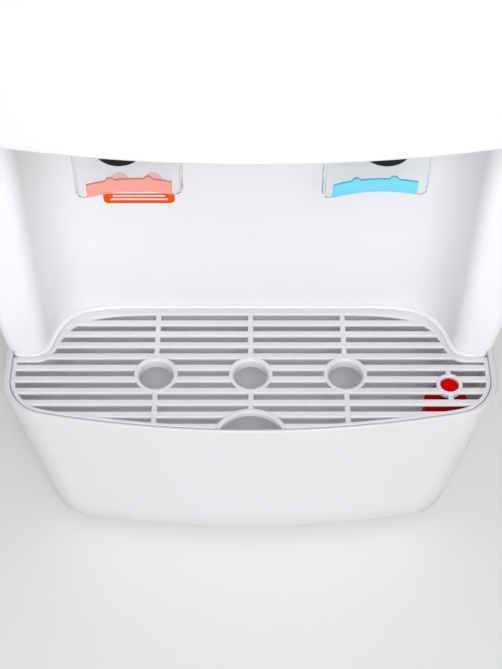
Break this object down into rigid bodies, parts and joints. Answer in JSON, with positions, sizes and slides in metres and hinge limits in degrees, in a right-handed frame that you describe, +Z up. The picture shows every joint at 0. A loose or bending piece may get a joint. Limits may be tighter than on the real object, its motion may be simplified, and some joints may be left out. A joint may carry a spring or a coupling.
{
  "type": "countertop water dispenser",
  "caption": "Countertop water dispenser with hot and cold push-lever taps over a bow-fronted lift-out drip tray, and a bottle seat on top.",
  "frame": {"origin": "on the counter, below the centre of the bounding box", "axes": "+Z up, +X to the right of a person facing the dispenser, -Y towards that person"},
  "size_m": [0.3278, 0.2999, 0.5],
  "materials": {
    "white_gloss": "glossy",
    "grille_white": "satin",
    "tray_grey": "satin",
    "float_red": "glossy",
    "label": "satin",
    "ivory_plastic": "satin",
    "black_plastic": "satin",
    "clear_plastic": "glossy, clear",
    "hot_strip": "glossy",
    "cold_strip": "glossy",
    "rubber_dark": "matte",
    "silicone": "matte",
    "steel": "brushed",
    "aluminium": "satin",
    "galvanised": "satin",
    "foam": "matte",
    "ceramic": "matte",
    "board_green": "satin",
    "amber_plastic": "satin",
    "lens": "glossy",
    "switch_red": "glossy",
    "hose": "satin"
  },
  "bodies": {
    "dispenser": {"base_housing": "white_gloss", "base_plate": "white_gloss", "rubber_feet": "rubber_dark", "dispensing_panel": "white_gloss", "tap_deck": "white_gloss", "head_cover": "white_gloss", "left_side_panel": "white_gloss", "right_side_panel": "white_gloss", "rear_panel": "white_gloss", "top_cover": "white_gloss", "case_screws": "steel", "chassis_frame": "galvanised", "warning_label": "label", "indicator_lenses": "lens", "indicator_board": "board_green", "cold_tank": "steel", "tank_insulation": "foam", "cold_block": "aluminium", "peltier_module": "ceramic", "heat_sink": "aluminium", "fan_frame": "black_plastic", "hot_tank": "steel", "hot_tank_jacket": "foam", "band_heater": "steel", "thermostats": "amber_plastic", "cold_hose": "hose", "hot_hose": "hose", "feed_hose": "hose", "drain_hose": "hose", "drain_fitting": "ivory_plastic", "power_board": "board_green", "power_inlet": "black_plastic", "switch_frame": "black_plastic", "hot_tap_body": "ivory_plastic", "hot_gasket": "silicone", "hot_nozzle": "black_plastic", "hot_bonnet": "ivory_plastic", "hot_valve_spring": "steel", "hot_lever_pin": "steel", "cold_tap_body": "ivory_plastic", "cold_gasket": "silicone", "cold_nozzle": "black_plastic", "cold_bonnet": "ivory_plastic", "cold_valve_spring": "steel", "cold_lever_pin": "steel"},
    "tray": {"drip_tray": "tray_grey"},
    "grille": {"drip_grille": "grille_white"},
    "float": {"overflow_float": "float_red"},
    "hot_lever_body": {"hot_lever": "clear_plastic", "hot_lever_strip": "hot_strip"},
    "cold_lever_body": {"cold_lever": "clear_plastic", "cold_lever_strip": "cold_strip"},
    "hot_stem": {"hot_valve_stem": "silicone"},
    "cold_stem": {"cold_valve_stem": "silicone"},
    "fan": {"fan_rotor": "black_plastic"},
    "heater_rocker": {"heater_switch": "switch_red"},
    "cooler_rocker": {"cooler_switch": "switch_red"},
    "seat": {"bottle_seat": "white_gloss", "bottle_probe": "white_gloss"},
    "cap": {"drain_cap": "ivory_plastic"}
  },
  "joints": [
    {"name": "tray_lift", "type": "slide", "parent": "dispenser", "child": "tray", "axis": [0, 0, 1], "range_m": [0, 0.06]},
    {"name": "grille_lift", "type": "slide", "parent": "tray", "child": "grille", "axis": [0, 0, 1], "range_m": [0, 0.06]},
    {"name": "float_rise", "type": "slide", "parent": "tray", "child": "float", "axis": [0, 0, 1], "range_m": [0, 0.01]},
    {"name": "hot_lever_push", "type": "hinge", "parent": "dispenser", "child": "hot_lever_body", "pos_m": [-0.0645, -0.1334, 0.3865], "axis": [1, 0, 0], "range_deg": [0, 10], "stiffness_Nm_per_rad": 0.3, "springref_deg": -17.19},
    {"name": "hot_stem_lift", "type": "slide", "parent": "dispenser", "child": "hot_stem", "axis": [0, 0, 1], "range_m": [0, 0.0024], "deforming": ["hot_valve_spring"]},
    {"name": "cold_lever_push", "type": "hinge", "parent": "dispenser", "child": "cold_lever_body", "pos_m": [0.0645, -0.1334, 0.3865], "axis": [1, 0, 0], "range_deg": [0, 10], "stiffness_Nm_per_rad": 0.3, "springref_deg": -17.19},
    {"name": "cold_stem_lift", "type": "slide", "parent": "dispenser", "child": "cold_stem", "axis": [0, 0, 1], "range_m": [0, 0.0024], "deforming": ["cold_valve_spring"]},
    {"name": "fan_spin", "type": "hinge", "parent": "dispenser", "child": "fan", "pos_m": [0, 0.13, 0.405], "axis": [0, 1, 0], "continuous": true},
    {"name": "heater_rocker_tilt", "type": "hinge", "parent": "dispenser", "child": "heater_rocker", "pos_m": [-0.1054, 0.137, 0.425], "axis": [1, 0, 0], "range_deg": [0, 16]},
    {"name": "cooler_rocker_tilt", "type": "hinge", "parent": "dispenser", "child": "cooler_rocker", "pos_m": [-0.0846, 0.137, 0.425], "axis": [1, 0, 0], "range_deg": [0, 16]},
    {"name": "seat_lift", "type": "slide", "parent": "dispenser", "child": "seat", "axis": [0, 0, 1], "range_m": [0, 0.08]},
    {"name": "cap_pull", "type": "slide", "parent": "dispenser", "child": "cap", "axis": [0, 1, 0], "range_m": [0, 0.02]}
  ],
  "couplings": [
    {"joint": "hot_stem_lift", "follows": "hot_lever_push", "m_per_rad": 0.0133},
    {"joint": "cold_stem_lift", "follows": "cold_lever_push", "m_per_rad": 0.0133}
  ]
}
